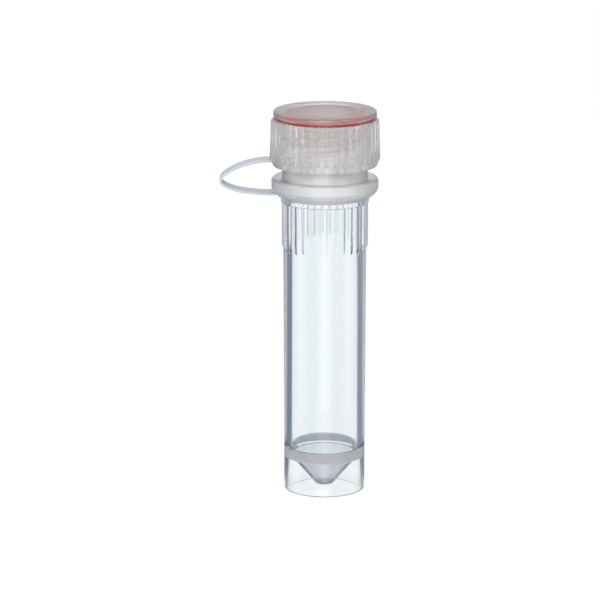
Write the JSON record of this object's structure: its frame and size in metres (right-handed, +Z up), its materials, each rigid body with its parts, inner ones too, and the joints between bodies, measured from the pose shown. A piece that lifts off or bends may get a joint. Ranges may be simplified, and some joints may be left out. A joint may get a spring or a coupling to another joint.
{
  "type": "self-standing screw-cap microtube",
  "caption": "Clear self-standing vial: cone bottom in a skirt, ribbed shoulder, knurled translucent screw cap with a red seal ring, and a strap that ties the cap to a neck collar.",
  "frame": {"origin": "on the tube's axis, on the plane of the foot that the tube stands on", "axes": "+Z up along the tube towards the cap, the strap loops out towards -X"},
  "size_m": [0.02, 0.0138, 0.0487],
  "materials": {
    "clear_polypropylene": "clear moulded polypropylene, glossy, faint blue tint",
    "natural_polypropylene": "natural translucent polypropylene, satin",
    "strap_polypropylene": "thin natural translucent ribbon, satin",
    "red_silicone": "soft silicone, matt"
  },
  "bodies": {
    "tube": {"tube": "clear_polypropylene"},
    "collar": {"collar": "natural_polypropylene", "strap": "strap_polypropylene"},
    "cap": {"cap": "natural_polypropylene", "o_ring": "red_silicone"}
  },
  "joints": [
    {"name": "cap_turn", "type": "hinge", "parent": "tube", "child": "collar", "pos_m": [0, 0, 0], "axis": [0, 0, 1], "range_deg": [0, 540]},
    {"name": "cap_lift", "type": "slide", "parent": "collar", "child": "cap", "axis": [0, 0, 1], "range_m": [0, 0.003], "deforming": ["strap"]}
  ],
  "couplings": [
    {"joint": "cap_turn", "follows": "cap_lift", "rad_per_m": 3141.6}
  ]
}
